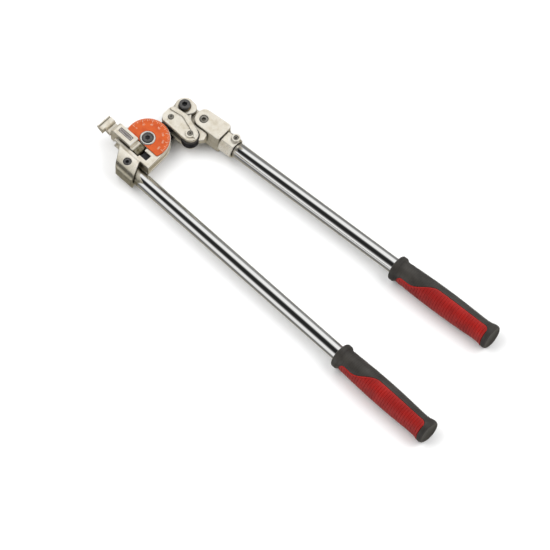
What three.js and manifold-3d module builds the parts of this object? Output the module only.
// Manual lever tube bender for 3/8 in (9.5 mm) tube, lying on its back.
// Millimetres, +Z up out of the dial. The origin is on the bending axis, on the flat
// face of the centre pivot nut. +X runs along the form handle, and +Y points from the
// bending axis to the shoe at the 90 degree position that the tool is modelled in.

import * as THREE from 'three';
import { mergeVertices } from 'three/addons/utils/BufferGeometryUtils.js';
import Module from 'manifold-3d';

const wasm = await Module();
wasm.setup();

// ---------------------------------------------------------------- driving dimensions

const GAP = 0.3;                       // between pieces that touch on the real tool
const FAR = 60;                        // reach of a cutting block, past every casting

// Tube and bend
const TUBE_R = 4.76;                   // outside radius of the tube that is bent
const BEND_R = 24;                     // bending axis to the tube's centre line
const GROOVE_R = TUBE_R + 0.14;        // round of the tube groove
const TUBE_Z = 19.5;                   // height of the tube's centre line

// Form casting
const FORM_R = 25.5;
const FORM_Z = [12, 27];
const FORM_END_Y = -27;                // where the straight part of the form ends
const FORM_FLARE_X = 27;               // the right-hand side spreads towards the boss
const HUB_R = 12;
const HUB_Z = 8.8;
const BOSS_X = [-17, 24];
const BOSS_HALF = 13.2;
const BOSS_FRONT_ROUND = 7;
const BOSS_REAR_ROUND = 10.7;
const BOSS_CORNERS = [                 // plan, slanted at both ends: [x, y, radius]
  [2.2, -43.7, 6], [22, -47.7, 2], [11.5, -25.3, 2], [-13, -26.3, 3],
];
const BORE_DEPTH_X = -1;               // closed end of the boss's tube socket
const HANDLE_SCREW_X = 5;
const SCREW_SEAT_Z = 24;               // floor of the handle screw's counterbore
const BUMPER_X = [9, 18];
const BUMPER_Y = [-20.5, -13.5];
const BUMPER_TOP = 24.5;

// Dial
const DIAL_R = 24.6;
const DIAL_HOLE_R = 9.1;
const DIAL_Z = [27.3, 28.3];
const DIAL_CUT_Y = -8.7;

// Pivot screws (centre and shoe)
const SHANK_R = 5;
const THREAD_R = 3.8;
const CENTRE_HEAD_R = 6.2;
const CENTRE_HEAD_Z = [27.9, 29.6];
const SHOE_HEAD_R = 6.5;
const SHOE_HEAD_Z = [27.8, 32.4];
const BUSH_R = 6.6;
const BUSH_BORE_R = SHANK_R + 0.25;
const RING_TOP = 28.8;                 // bright rim of the centre bush
const SHOE_PIVOT = [0, 57.5];
const LINK_Z = [3.3, 7.5];
const NUT_Z = [0, 3];
const NUT_FLAT = 8;                    // half the width across flats

// Shoe and rollers
const INNER_PIN = [0, 36];
const OUTER_PIN = [30, 36];
const PIN_R = 3.2;
const ROLLER_R = 10;
const ROLLER_GROOVE_R = 7.2;
const ROLLER_Z = [14.2, 26.1];
const LUG_R = 11;
const LUG_Z = [8.7, 27.5];
const REAR_CHEEK_Z = [9.2, 13.8];
const END_BLOCK_Z = 19.5;              // underside of the block past the outer roller
const PLATE_Z = [26.5, 30.4];
const RIB_Z = 31.8;
const CHEEK_EDGE_Y = 27.2;             // straight edges of the cheeks, clear of the form

// Tube latch
const LATCH_PIN = [3, 23.5];           // X and Z of its hinge pin
const LATCH_PIN_R = 1.8;
const LATCH_Y = [-22.6, -9.2];
const LATCH_TOP = 33;
const LATCH_PIN_Y = [-27.4, -7.9];
const LATCH_LEG_X = -35;
const LATCH_LEG_Y = -10.4;             // side of the leg, clear of the rollers as they pass
const LATCH_FOOT_Z = 10;
const TAB_Y = [-29, -10.2];
const LABEL_X = [-28, -9];
const LABEL_Y = [-17.9, -12.6];
const SLOT_Y = [-23.4, -8.9];
const SLOT_FLOOR = 22;
const KNUCKLE_R = 3.7;
const KNUCKLE_FLOOR = 19.4;

// Handles and grips
const HANDLE_Z = 15;
const HANDLE_R = 8.75;
const HANDLE_WALL = 2;
const SOCKET_R = HANDLE_R + GAP;
const FORM_HANDLE_Y = -36.5;
const FORM_GRIP_X = 335;
const YOKE_PIN = [27, 60.3];
const YOKE_ANGLE = 4.9;                // degrees from +X to the bending handle
const YOKE_GRIP_S = 276;               // yoke pin to the grip, along the handle
const GRIP_LENGTH = 137;
const GRIP_COVER = 7;                  // closed end of a grip, past its tube

// Yoke
const YOKE_Z = [1, 29];
const TONGUE_Z = [9, 21];
const TONGUE_R = 9.5;
const YOKE_UNDER = -10.2;              // stop face, across from the handle's axis
const LEDGE_UNDER = YOKE_UNDER - GAP;
const YOKE_SOCKET_S = 17;              // closed end of the yoke's tube socket
const YOKE_HEAD_R = 4.6;
const COLLAR_HALF = 11.2;              // half its width across six flats
const COLLAR_SIDE = 10.3;              // it is cut flat on the screw's side
const COLLAR_S = [30.2, 47];
const NECK_R = 10.6;                   // waist between the block and the collar
const COLLAR_SCREW = [42.5, 4.6];      // set screw, along and across the handle
const SET_SCREW_R = 2.7;
const YOKE_BOSS_Z = 29.6;              // top of the boss round the set screw

// ---------------------------------------------------------------- materials

const finish = (color, roughness, metalness) =>
  new THREE.MeshStandardMaterial({ color, roughness, metalness, flatShading: true });

const MATERIALS = {
  casting: finish(0xcfc8b8, 0.38, 0.9),
  chrome: finish(0xd8d8d6, 0.12, 1.0),
  steel: finish(0xb9b8b2, 0.3, 1.0),
  black: finish(0x1f1f22, 0.45, 0.7),
  dial: finish(0xe26034, 0.5, 0.0),
  label: finish(0x4c4742, 0.5, 0.2),
  bronze: finish(0xa8814a, 0.4, 0.9),
  rubber: finish(0x323234, 0.8, 0.0),
  red: finish(0xaf191e, 0.6, 0.0),
};

// ---------------------------------------------------------------- geometry helpers

/** Turns a three.js geometry into a closed solid with its faces outward. */
function solid(geometry) {
  const bare = geometry.clone();
  bare.deleteAttribute('normal');
  bare.deleteAttribute('uv');
  const merged = mergeVertices(bare, 1e-4);
  const place = merged.attributes.position;
  const index = merged.index.array;
  const corner = [new THREE.Vector3(), new THREE.Vector3(), new THREE.Vector3()];
  const triangles = [];
  let volume = 0;
  for (let i = 0; i < index.length; i += 3) {
    const [a, b, c] = [index[i], index[i + 1], index[i + 2]];
    if (a === b || b === c || c === a) continue;
    corner[0].fromBufferAttribute(place, a);
    corner[1].fromBufferAttribute(place, b);
    corner[2].fromBufferAttribute(place, c);
    volume += corner[0].dot(corner[1].cross(corner[2]));
    triangles.push(a, b, c);
  }
  if (volume < 0) triangles.reverse();
  return new wasm.Manifold(new wasm.Mesh({
    numProp: 3,
    vertProperties: new Float32Array(place.array),
    triVerts: new Uint32Array(triangles),
  }));
}

const join = (first, ...others) => others.reduce((sum, piece) => sum.add(piece), first);
const cut = (body, ...tools) => tools.reduce((rest, tool) => rest.subtract(tool), body);

/** A named mesh from a solid. */
function mesh(name, body, material) {
  const { numProp, vertProperties, triVerts } = body.getMesh();
  const position = new Float32Array((vertProperties.length / numProp) * 3);
  for (let i = 0; i < position.length / 3; i += 1) {
    for (let k = 0; k < 3; k += 1) position[3 * i + k] = vertProperties[numProp * i + k];
  }
  const geometry = new THREE.BufferGeometry();
  geometry.setAttribute('position', new THREE.BufferAttribute(position, 3));
  geometry.setIndex(new THREE.BufferAttribute(new Uint32Array(triVerts), 1));
  geometry.computeVertexNormals();
  const piece = new THREE.Mesh(geometry, MATERIALS[material]);
  piece.name = name;
  return piece;
}

/** A box from its low and high corners. */
function block(low, high) {
  const size = high.map((value, axis) => value - low[axis]);
  const centre = high.map((value, axis) => (value + low[axis]) / 2);
  return solid(new THREE.BoxGeometry(...size).translate(...centre));
}

/** A round bar along Z. */
function rod([x, y], radius, [low, high], sides = 24) {
  const geometry = new THREE.CylinderGeometry(radius, radius, high - low, sides);
  return solid(geometry.rotateX(Math.PI / 2).translate(x, y, (low + high) / 2));
}

/** A flat outline in X and Y raised from low to high, with a chamfer round both faces. */
function plate(shape, [low, high], chamfer = 0, curveSegments = 16) {
  const geometry = new THREE.ExtrudeGeometry(shape, {
    depth: high - low - 2 * chamfer,
    bevelEnabled: chamfer > 0,
    bevelThickness: chamfer,
    bevelSize: chamfer,
    bevelOffset: -chamfer,
    bevelSegments: 1,
    curveSegments,
  });
  return solid(geometry.translate(0, 0, low + chamfer));
}

/** A profile of [radius, height] points turned about the Z axis. */
function turned(profile, sides = 28) {
  const points = profile.map(([radius, height]) => new THREE.Vector2(radius, height));
  return solid(new THREE.LatheGeometry(points, sides).rotateX(Math.PI / 2));
}

/** The same, turned about an axis along +X at the height of the handles. */
function turnedAlongX(profile, sides = 24) {
  const points = profile.map(([along, radius]) => new THREE.Vector2(radius, along));
  const geometry = new THREE.LatheGeometry(points, sides).rotateZ(-Math.PI / 2);
  return solid(geometry.translate(0, 0, HANDLE_Z));
}

/** A closed outline of straight sides. */
function polygon(points) {
  return new THREE.Shape(points.map(([x, y]) => new THREE.Vector2(x, y)));
}

/** The outline of a belt stretched round circles [x, y, radius], given anticlockwise. */
function beltShape(circles) {
  const count = circles.length;
  const normals = circles.map(([x, y, r], i) => {
    const [nextX, nextY, nextR] = circles[(i + 1) % count];
    const reach = Math.hypot(nextX - x, nextY - y);
    const heading = Math.atan2(nextY - y, nextX - x);
    return heading - Math.PI / 2 + Math.asin((r - nextR) / reach);
  });
  const shape = new THREE.Shape();
  circles.forEach(([x, y, r], i) => {
    const from = normals[(i + count - 1) % count];
    let to = normals[i];
    while (to < from) to += 2 * Math.PI;
    shape.absarc(x, y, r, from, to, false);
  });
  return shape;
}

/** A rectangle with its own round at each corner, from bottom left anticlockwise. */
function roundedRectangle([left, bottom], [right, top], rounds) {
  const [a, b, c, d] = rounds;
  return beltShape([
    [left + a, bottom + a, a],
    [right - b, bottom + b, b],
    [right - c, top - c, c],
    [left + d, top - d, d],
  ]);
}

/** A flat outline in X and Z, drawn out along Y from one value to the other. */
function drawnAlongY(shape, [from, to], curveSegments = 16) {
  const body = plate(shape, [from, to], 0, curveSegments);
  return body.rotate([90, 0, 0]).mirror([0, 1, 0]);
}

/** A flat outline in Y and Z, drawn out along X. */
function drawnAlongX(shape, [from, to], curveSegments = 8) {
  return plate(shape, [from, to], 0, curveSegments).rotate([90, 0, 90]);
}

/** A six-sided bar along Z, with its width across flats. */
function hexagon([x, y], halfFlat, range) {
  return rod([x, y], halfFlat / Math.cos(Math.PI / 6), range, 6);
}

// ---------------------------------------------------------------- form and centre pivot

/** Section of the tube groove in radius and height, open outward. */
function grooveSection() {
  const steps = 8;
  const outer = FORM_R + 6;
  const points = [[outer, TUBE_Z - GROOVE_R]];
  for (let i = 0; i <= steps; i += 1) {
    const angle = -Math.PI / 2 - (Math.PI * i) / steps;
    points.push([BEND_R + GROOVE_R * Math.cos(angle), TUBE_Z + GROOVE_R * Math.sin(angle)]);
  }
  points.push([outer, TUBE_Z + GROOVE_R]);
  return points;
}

/** The half-round groove and the straight run at each of its ends. */
function tubeGroove() {
  const section = grooveSection();
  const ring = turned([...section, section[0]], 48);
  const bend = ring.intersect(block([-FAR, 0, 0], [FAR, FAR, FAR]));
  const right = drawnAlongY(polygon(section), [BOSS_HALF + FORM_HANDLE_Y, 0.01]);
  const leftSection = section.map(([radius, z]) => [-radius, z]).reverse();
  const left = drawnAlongY(polygon(leftSection), [FORM_END_Y - 1, 0.01]);
  return join(bend, right, left);
}

/** Round-cornered socket for the form handle, which also clamps in a vice. */
function handleBoss() {
  const low = [FORM_HANDLE_Y - BOSS_HALF, HANDLE_Z - BOSS_HALF];
  const high = [FORM_HANDLE_Y + BOSS_HALF, HANDLE_Z + BOSS_HALF];
  const rounds = [BOSS_REAR_ROUND, BOSS_REAR_ROUND, BOSS_FRONT_ROUND, BOSS_FRONT_ROUND];
  const section = drawnAlongX(roundedRectangle(low, high, rounds), BOSS_X, 5);
  return section.intersect(plate(beltShape(BOSS_CORNERS), [0, FAR], 0, 4));
}

function formCasting() {
  const outline = new THREE.Shape();
  outline.moveTo(-FORM_R, FORM_END_Y);
  outline.lineTo(FORM_FLARE_X, FORM_END_Y + 1);
  outline.lineTo(FORM_R, 0);
  outline.absarc(0, 0, FORM_R, 0, Math.PI, false);
  const body = join(
    plate(outline, FORM_Z, 0, 24),
    rod([0, 0], HUB_R, [HUB_Z, FORM_Z[0] + 1], 28),
    handleBoss(),
  );
  const socket = turnedAlongX([
    [BORE_DEPTH_X, 0], [BORE_DEPTH_X, SOCKET_R], [FAR, SOCKET_R], [FAR, 0],
  ]).translate([0, FORM_HANDLE_Y, 0]);
  const knuckleX = LATCH_PIN[0] + KNUCKLE_R + 1.5;
  const screw = [HANDLE_SCREW_X, FORM_HANDLE_Y];
  return cut(
    body,
    tubeGroove(),
    rod([0, 0], BUSH_R + GAP, [0, FAR]),
    socket,
    block([-FAR, SLOT_Y[0], SLOT_FLOOR], [knuckleX, SLOT_Y[1], FAR]),
    block([LATCH_PIN[0] - 5, SLOT_Y[0], KNUCKLE_FLOOR], [knuckleX, SLOT_Y[1], FAR]),
    block([BUMPER_X[0] - 1, BUMPER_Y[0] - GAP, KNUCKLE_FLOOR],
      [BUMPER_X[1] + GAP, BUMPER_Y[1] + GAP, FAR]),
    latchPinBar(LATCH_PIN_R + GAP, 0.5),
    rod(screw, 4.7, [SCREW_SEAT_Z, FAR], 24),
    rod(screw, SET_SCREW_R + 0.1, [3.6, FAR], 16),
  );
}

function degreeDial() {
  const shape = new THREE.Shape();
  const start = Math.asin(DIAL_CUT_Y / DIAL_R);
  shape.absarc(0, 0, DIAL_R, start, Math.PI - start, false);
  return cut(plate(shape, DIAL_Z, 0, 30), rod([0, 0], DIAL_HOLE_R, [0, FAR], 32));
}

/** Flanged bush in the form, whose rim shows as a bright ring in the dial. */
function pivotBush() {
  const rimUnder = FORM_Z[1] + GAP;
  const rimR = DIAL_HOLE_R - GAP;
  const recessR = CENTRE_HEAD_R + GAP;
  const recessZ = CENTRE_HEAD_Z[0] - GAP;
  return turned([
    [BUSH_BORE_R, HUB_Z], [BUSH_R, HUB_Z], [BUSH_R, rimUnder], [rimR, rimUnder],
    [rimR, RING_TOP - 0.3], [rimR - 0.3, RING_TOP], [recessR, RING_TOP], [recessR, recessZ],
    [BUSH_BORE_R, recessZ], [BUSH_BORE_R, HUB_Z],
  ]);
}

/** Socket-head shoulder screw with its thread in the nut at the back. */
function pivotScrew([x, y], headR, [headLow, headHigh], socketDepth) {
  const threadEnd = 1.2;
  const body = turned([
    [0, threadEnd], [THREAD_R - 0.4, threadEnd], [THREAD_R, threadEnd + 0.4],
    [THREAD_R, LINK_Z[0]], [SHANK_R, LINK_Z[0]], [SHANK_R, headLow],
    [headR, headLow], [headR, headHigh - 0.6], [headR - 0.6, headHigh], [0, headHigh],
  ]).translate([x, y, 0]);
  return cut(body, hexagon([x, y], headR * 0.42, [headHigh - socketDepth, FAR]));
}

/** Closed hexagon nut with a flat outer face. */
function pivotNut([x, y]) {
  const chamfer = turned([
    [0, NUT_Z[0]], [NUT_FLAT - 0.2, NUT_Z[0]], [NUT_FLAT + 1.6, NUT_Z[0] + 1],
    [NUT_FLAT + 1.6, NUT_Z[1]], [0, NUT_Z[1]],
  ]).translate([x, y, 0]);
  const body = hexagon([x, y], NUT_FLAT, NUT_Z).intersect(chamfer);
  return cut(body, rod([x, y], THREAD_R + GAP, [0.9, FAR], 24));
}

function washer([x, y], outerR, [low, high]) {
  return cut(rod([x, y], outerR, [low, high]), rod([x, y], SHANK_R + GAP, [0, FAR]));
}

// ---------------------------------------------------------------- tube latch

/** The hinge pin, or the hole for it when made larger and longer. */
function latchPinBar(radius, extra) {
  const circle = new THREE.Shape();
  circle.absarc(LATCH_PIN[0], LATCH_PIN[1], radius, 0, 2 * Math.PI, false);
  return drawnAlongY(circle, [LATCH_PIN_Y[0] - extra, LATCH_PIN_Y[1] + extra], 8);
}

/** Side view of the latch from its hinge to its outer leg, in X and Z. */
function latchSide() {
  const [pinX, pinZ] = LATCH_PIN;
  const barRight = -5;
  const legInner = -BEND_R - GROOVE_R - GAP;
  const corner = 6.5;
  const archR = GROOVE_R + 0.2;
  const shape = new THREE.Shape();
  shape.moveTo(barRight, LATCH_TOP - 1);
  shape.lineTo(barRight - 1, LATCH_TOP);
  shape.lineTo(LATCH_LEG_X + corner, LATCH_TOP);
  shape.absarc(LATCH_LEG_X + corner, LATCH_TOP - corner, corner, Math.PI / 2, Math.PI, false);
  shape.lineTo(LATCH_LEG_X, LATCH_FOOT_Z + 1.5);
  shape.lineTo(LATCH_LEG_X + 1.5, LATCH_FOOT_Z);
  shape.lineTo(legInner - 0.8, LATCH_FOOT_Z);
  shape.lineTo(legInner, LATCH_FOOT_Z + 2);
  shape.lineTo(-BEND_R - archR, TUBE_Z);
  shape.absarc(-BEND_R, TUBE_Z, archR, Math.PI, Math.PI / 4, true);
  shape.lineTo(-BEND_R + archR + 0.6, SLOT_FLOOR + 0.6);
  shape.lineTo(pinX - KNUCKLE_R, SLOT_FLOOR + 0.6);
  shape.absarc(pinX, pinZ, KNUCKLE_R, Math.PI, 2.5 * Math.PI, false);
  shape.lineTo(barRight, pinZ + KNUCKLE_R);
  return shape;
}

/** Side view of the neck and thumb tab that stand out past the leg. */
function latchTabSide() {
  return polygon([
    [-34, 20.5], [-41, 21.5], [-48.5, 25.2], [-50, 27], [-50, 29.4], [-49.4, 30],
    [-42, 30], [-40.8, 28.6], [-39, 25.5], [-34, 24.8],
  ]);
}

function tubeLatch() {
  const neckSide = block([-41.5, TAB_Y[0] - 1, 0], [-FAR / 2, LATCH_Y[0] - 2, FAR]);
  const tab = cut(drawnAlongY(latchTabSide(), TAB_Y), neckSide);
  return cut(
    join(drawnAlongY(latchSide(), LATCH_Y), tab),
    block([-FAR, LATCH_LEG_Y, 0], [-BEND_R - 2, FAR, ROLLER_Z[1] + GAP]),
    latchPinBar(LATCH_PIN_R + GAP, 0),
    block([LABEL_X[0], LABEL_Y[0], LATCH_TOP - 0.9], [LABEL_X[1], LABEL_Y[1], FAR]),
  );
}

function latchLabel() {
  return block(
    [LABEL_X[0] + GAP, LABEL_Y[0] + GAP, LATCH_TOP - 0.6],
    [LABEL_X[1] - GAP, LABEL_Y[1] - GAP, LATCH_TOP - 0.2],
  );
}

function latchBumper() {
  const shape = roundedRectangle(
    [BUMPER_X[0], BUMPER_Y[0]], [BUMPER_X[1], BUMPER_Y[1]], [1, 1, 1, 1]);
  return plate(shape, [KNUCKLE_FLOOR + GAP, BUMPER_TOP], 0.4, 3);
}

// ---------------------------------------------------------------- link and shoe

function rearLink() {
  const outline = beltShape([[0, 0, 13], [...SHOE_PIVOT, LUG_R - 0.2]]);
  const holes = [[0, 0], SHOE_PIVOT].map((place) => rod(place, SHANK_R + GAP, [0, FAR]));
  return cut(plate(outline, LINK_Z, 0.5, 10), ...holes);
}

/** Belt outline of the roller cheeks, drawn in by an inset. */
function cheekOutline(inset = 0) {
  return beltShape([
    [INNER_PIN[0] + 1, INNER_PIN[1], 10.3 - inset],
    [OUTER_PIN[0] + 0.6, OUTER_PIN[1], 8.8 - inset],
    [10.5, 39, 11.8 - inset],
    [-3.2, 42.8, 6.2 - inset],
  ]);
}

const belowCheek = () => block([-FAR, -FAR, 0], [FAR, CHEEK_EDGE_Y, FAR]);
const rollerPinHoles = () =>
  [INNER_PIN, OUTER_PIN].map((place) => rod(place, PIN_R + GAP, [0, FAR], 20));

/** A point at the given distance along and across the bending handle. */
function besideHandle(along, across) {
  const angle = THREE.MathUtils.degToRad(YOKE_ANGLE);
  return [
    YOKE_PIN[0] + along * Math.cos(angle) - across * Math.sin(angle),
    YOKE_PIN[1] + along * Math.sin(angle) + across * Math.cos(angle),
  ];
}

function shoeBody() {
  const ledgeIn = besideHandle(-8.5, LEDGE_UNDER);
  const ledgeOut = besideHandle(13.5, LEDGE_UNDER);
  const webLow = INNER_PIN[1] + ROLLER_R + 0.5;
  const web = polygon([
    [-9.5, webLow], [40, webLow], [41.4, webLow + 1.5], ledgeOut, ledgeIn, [14.4, 53],
    [11, SHOE_PIVOT[1]], [-10.4, SHOE_PIVOT[1] - 3.5],
  ]);
  const tongue = beltShape([[26, 54, 7], [...YOKE_PIN, TONGUE_R], [...SHOE_PIVOT, 7]]);
  const tongueUnder = polygon([
    [0, 50], [19, webLow], ledgeOut, besideHandle(0, LEDGE_UNDER), [20, 62],
  ]);
  const endBlock = polygon([[32, webLow + 1], [36, 38], [41.8, 38.4], [44.6, 42.5], [42.3, 49.8]]);
  const rollerRoom = rod(OUTER_PIN, ROLLER_R + 0.5, [0, FAR], 32);
  const body = join(
    plate(beltShape([[...SHOE_PIVOT, LUG_R], [5, 60, 8.2]]), LUG_Z, 0, 14),
    cut(plate(endBlock, [END_BLOCK_Z, PLATE_Z[0] - GAP]), rollerRoom),
    plate(web, [LUG_Z[0], PLATE_Z[0] - GAP]),
    plate(tongue, TONGUE_Z, 0, 10),
    plate(tongueUnder, TONGUE_Z),
    cut(plate(cheekOutline(1.5), REAR_CHEEK_Z, 0, 10), belowCheek()),
  );
  return cut(
    body,
    rod(SHOE_PIVOT, BUSH_R + GAP, [0, FAR]),
    rod(YOKE_PIN, 5.5, [0, FAR], 24),
    plate(cheekOutline(-GAP), [PLATE_Z[0] - GAP, FAR], 0, 8),
    ...rollerPinHoles(),
  );
}

/** Front cheek over the rollers, with a raised rib under its crown. */
function shoeFrontPlate() {
  const base = plate(cheekOutline(), PLATE_Z, 0.5, 8);
  const ribBand = cut(
    plate(cheekOutline(1.6), [PLATE_Z[0] + 1, RIB_Z], 0, 8),
    plate(cheekOutline(4.4), [0, FAR], 0, 8),
    block([-FAR, -FAR, 0], [FAR, INNER_PIN[1] + 5.5, FAR]),
  );
  const bosses = [INNER_PIN, OUTER_PIN].map((place) =>
    rod(place, PIN_R + 1.7, [PLATE_Z[0] + 1, PLATE_Z[1] + 0.6], 20));
  return cut(join(base, ribBand, ...bosses), belowCheek(), ...rollerPinHoles());
}

function roller([x, y]) {
  const steps = 6;
  const grooveR = GROOVE_R + 0.1;
  const grooveAxis = ROLLER_GROOVE_R + grooveR;
  const half = Math.acos((grooveAxis - ROLLER_R) / grooveR);
  const [low, high] = ROLLER_Z;
  const boreR = PIN_R + 0.25;
  const profile = [[boreR, low], [ROLLER_R - 0.5, low], [ROLLER_R, low + 0.5]];
  for (let i = 0; i <= steps; i += 1) {
    const angle = -half + (2 * half * i) / steps;
    profile.push([grooveAxis - grooveR * Math.cos(angle), TUBE_Z + grooveR * Math.sin(angle)]);
  }
  profile.push([ROLLER_R, high - 0.5], [ROLLER_R - 0.5, high], [boreR, high], [boreR, low]);
  return turned(profile, 26).translate([x, y, 0]);
}

function rollerPin([x, y]) {
  const low = REAR_CHEEK_Z[0] + 0.2;
  const high = PLATE_Z[1] + 0.8;
  return turned([
    [0, low], [PIN_R - 0.4, low], [PIN_R, low + 0.4], [PIN_R, high - 0.5],
    [PIN_R - 0.5, high], [0, high],
  ], 18).translate([x, y, 0]);
}

/** Plain bush: a sleeve between two radii. */
function bush([x, y], innerR, outerR, range) {
  return cut(rod([x, y], outerR, range, 22), rod([x, y], innerR, [0, FAR], 22));
}

// ---------------------------------------------------------------- handles

// Pieces of a handle are built along +X from the handle's own origin on its axis.

function handleTube(from, to, screwAt) {
  const inner = HANDLE_R - HANDLE_WALL;
  const tube = turnedAlongX([
    [from, inner], [from, HANDLE_R], [to, HANDLE_R], [to, inner], [from, inner],
  ]);
  if (screwAt === undefined) return tube;
  return cut(tube, rod([screwAt, 0], SET_SCREW_R + 0.1, [0, FAR], 16));
}

/** Outside of a grip: [distance from its front end, radius]. */
const GRIP_OUTLINE = [
  [0, 14.2], [0.8, 15], [5, 15], [6.5, 14], [8.5, 12.8], [16, 13], [45, 14], [75, 14.2],
  [105, 13.4], [122, 12.9], [128, 13.6], [132, 14.6], [135.5, 14.4], [137, 12.8],
];

/** The grip as a solid bar, on its way to becoming the sleeve or the inlay. */
function gripBar(start) {
  const outline = GRIP_OUTLINE.map(([along, radius]) => [start + along, radius]);
  return turnedAlongX([[start, 0], ...outline, [start + GRIP_LENGTH, 0]]);
}

const INLAY_FROM = 12;
const INLAY_TO = 124;
const INLAY_FLOOR_R = 11;

/** Wedge of the grip that the coloured inlay takes, round the -Y side to the front. */
function inlayWedge(start, clearance) {
  const low = Math.PI * 1.22;
  const high = Math.PI * 0.44;
  const reach = 30;
  const shape = polygon([
    [-clearance, clearance],
    [reach * Math.cos(low), reach * Math.sin(low) + clearance],
    [-reach, 0],
    [-reach, reach],
    [reach * Math.cos(high) - clearance, reach * Math.sin(high)],
  ]);
  const range = [start + INLAY_FROM + clearance, start + INLAY_TO - clearance];
  return drawnAlongX(shape, range).translate([0, 0, HANDLE_Z]);
}

function gripCore(start, radius) {
  const end = start + GRIP_LENGTH;
  return turnedAlongX([[start - 1, 0], [start - 1, radius], [end, radius], [end, 0]]);
}

function gripSleeve(start) {
  const tubeEnd = start + GRIP_LENGTH - GRIP_COVER;
  const bore = turnedAlongX([
    [start - 1, 0], [start - 1, SOCKET_R], [tubeEnd + GAP, SOCKET_R], [tubeEnd + GAP, 0],
  ]);
  const pocket = cut(inlayWedge(start, 0), gripCore(start, INLAY_FLOOR_R));
  return cut(gripBar(start), bore, pocket);
}

function gripInlay(start) {
  return cut(gripBar(start).intersect(inlayWedge(start, GAP)), gripCore(start, INLAY_FLOOR_R + GAP));
}

/** Black socket screw that pins the form handle in its boss. */
function handleScrew() {
  const top = 27.6;
  const headLow = SCREW_SEAT_Z + GAP;
  const body = turned([
    [0, 4.4], [2.4, 4.4], [2.4, headLow], [4.3, headLow], [4.3, top - 0.4], [3.9, top], [0, top],
  ], 24);
  return cut(body, hexagon([0, 0], 2, [top - 2, FAR])).translate([HANDLE_SCREW_X, 0, 0]);
}

/** Set screw in the yoke's collar boss, down to the handle tube. */
function collarScrew() {
  const body = rod(COLLAR_SCREW, SET_SCREW_R, [23.9, 28.9], 20);
  return cut(body, hexagon(COLLAR_SCREW, 1.3, [27, FAR]));
}

/** Six-sided collar round the handle tube, flat on top and on the set screw's side. */
function collar() {
  const corners = [0, 1, 2, 3, 4, 5].map((k) => {
    const angle = (k * Math.PI) / 3;
    const reach = COLLAR_HALF / Math.cos(Math.PI / 6);
    return [reach * Math.cos(angle), HANDLE_Z + reach * Math.sin(angle)];
  });
  return cut(
    drawnAlongX(polygon(corners), COLLAR_S),
    block([0, COLLAR_SIDE, 0], [FAR, FAR, FAR]),
  );
}

/** Forked block on the shoe's tongue, with the collar that holds the handle tube. */
function handleYoke() {
  const outline = beltShape([
    [0, 0, -YOKE_UNDER], [27.2, YOKE_UNDER + 1.8, 1.8], [25.3, 9.3, 4.2], [-2, 4.2, 8],
  ]);
  const neck = turnedAlongX([[25, 0], [25, NECK_R], [COLLAR_S[1] - 4, NECK_R], [COLLAR_S[1] - 4, 0]]);
  const socket = turnedAlongX([
    [YOKE_SOCKET_S, 0], [YOKE_SOCKET_S, SOCKET_R], [FAR, SOCKET_R], [FAR, 0],
  ]);
  return cut(
    join(
      plate(outline, YOKE_Z, 0.9, 6), neck, collar(), rod(COLLAR_SCREW, 5, [16, YOKE_BOSS_Z], 24),
    ),
    socket,
    block([-FAR, -FAR, TONGUE_Z[0] - GAP], [TONGUE_R + 2, FAR, TONGUE_Z[1] + GAP]),
    rod([0, 0], 4.1, [0, FAR], 24),
    rod([0, 0], YOKE_HEAD_R + GAP, [25, FAR], 28),
    rod(COLLAR_SCREW, SET_SCREW_R + GAP, [15, FAR], 20),
  );
}

function yokeScrew() {
  const top = 28.6;
  const body = turned([
    [0, 1.6], [THREAD_R - 0.4, 1.6], [THREAD_R, 2], [THREAD_R, 25.3], [YOKE_HEAD_R, 25.3],
    [YOKE_HEAD_R, top - 0.5], [YOKE_HEAD_R - 0.5, top], [0, top],
  ], 28);
  return cut(body, hexagon([0, 0], YOKE_HEAD_R / 2, [top - 2, FAR]));
}

// ---------------------------------------------------------------- assembly

function formGroup() {
  const group = new THREE.Group();
  group.add(
    mesh('form_casting', formCasting(), 'casting'),
    mesh('degree_dial', degreeDial(), 'dial'),
    mesh('centre_pivot_bush', pivotBush(), 'steel'),
    mesh('centre_pivot_screw', pivotScrew([0, 0], CENTRE_HEAD_R, CENTRE_HEAD_Z, 1.3), 'black'),
    mesh('centre_pivot_nut', pivotNut([0, 0]), 'black'),
    mesh('centre_thrust_washer', washer([0, 0], 11, [LINK_Z[1] + GAP, HUB_Z - GAP]), 'steel'),
    mesh('latch_hinge_pin', latchPinBar(LATCH_PIN_R, 0), 'steel'),
    mesh('latch_bumper', latchBumper(), 'rubber'),
  );
  return group;
}

function formHandleGroup() {
  const group = new THREE.Group();
  group.position.set(0, FORM_HANDLE_Y, 0);
  const tubeEnd = FORM_GRIP_X + GRIP_LENGTH - GRIP_COVER;
  group.add(
    mesh('form_handle_tube', handleTube(BORE_DEPTH_X + GAP, tubeEnd, HANDLE_SCREW_X), 'chrome'),
    mesh('form_handle_screw', handleScrew(), 'black'),
    mesh('form_grip_sleeve', gripSleeve(FORM_GRIP_X), 'rubber'),
    mesh('form_grip_inlay', gripInlay(FORM_GRIP_X), 'red'),
  );
  return group;
}

function latchGroup() {
  const group = new THREE.Group();
  group.add(
    mesh('tube_latch', tubeLatch(), 'casting'),
    mesh('latch_label_plate', latchLabel(), 'label'),
  );
  return group;
}

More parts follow.
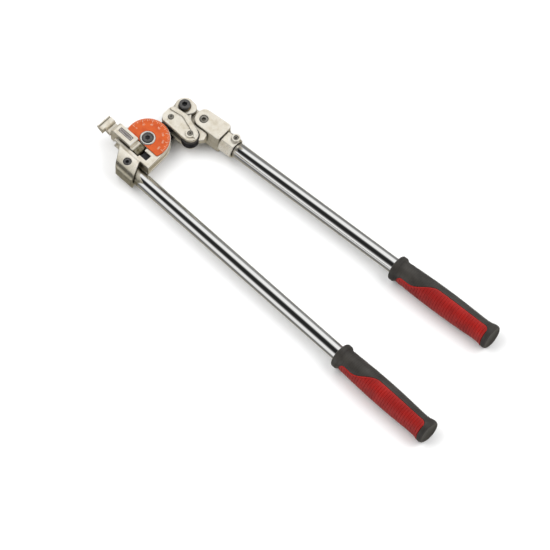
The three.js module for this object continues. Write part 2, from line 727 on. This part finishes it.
function linkGroup() {
  const group = new THREE.Group();
  const washerZ = [LINK_Z[1] + 0.2, 8.4];
  group.add(
    mesh('rear_link', rearLink(), 'black'),
    mesh('shoe_pivot_screw', pivotScrew(SHOE_PIVOT, SHOE_HEAD_R, SHOE_HEAD_Z, 2.6), 'black'),
    mesh('shoe_pivot_nut', pivotNut(SHOE_PIVOT), 'black'),
    mesh('shoe_thrust_washer', washer(SHOE_PIVOT, 7.4, washerZ), 'steel'),
  );
  return group;
}

function shoeGroup() {
  const group = new THREE.Group();
  group.add(
    mesh('shoe_body', shoeBody(), 'casting'),
    mesh('shoe_front_plate', shoeFrontPlate(), 'casting'),
    mesh('shoe_pivot_bush', bush(SHOE_PIVOT, BUSH_BORE_R, BUSH_R, LUG_Z), 'bronze'),
    mesh('yoke_pivot_bush', bush(YOKE_PIN, 4.1, 5.2, TONGUE_Z), 'bronze'),
    mesh('inner_roller_pin', rollerPin(INNER_PIN), 'steel'),
    mesh('outer_roller_pin', rollerPin(OUTER_PIN), 'steel'),
    mesh('inner_roller', roller(INNER_PIN), 'black'),
    mesh('outer_roller', roller(OUTER_PIN), 'black'),
  );
  return group;
}

function bendHandleGroup() {
  const group = new THREE.Group();
  group.position.set(YOKE_PIN[0], YOKE_PIN[1], 0);
  group.rotation.z = THREE.MathUtils.degToRad(YOKE_ANGLE);
  const tubeEnd = YOKE_GRIP_S + GRIP_LENGTH - GRIP_COVER;
  group.add(
    mesh('handle_yoke', handleYoke(), 'casting'),
    mesh('yoke_pivot_screw', yokeScrew(), 'black'),
    mesh('collar_set_screw', collarScrew(), 'black'),
    mesh('bend_handle_tube', handleTube(YOKE_SOCKET_S + GAP, tubeEnd), 'chrome'),
    mesh('bend_grip_sleeve', gripSleeve(YOKE_GRIP_S), 'rubber'),
    mesh('bend_grip_inlay', gripInlay(YOKE_GRIP_S), 'red'),
  );
  return group;
}

const bender = new THREE.Group();
bender.add(
  formGroup(), formHandleGroup(), latchGroup(), linkGroup(), shoeGroup(), bendHandleGroup());

export default bender;
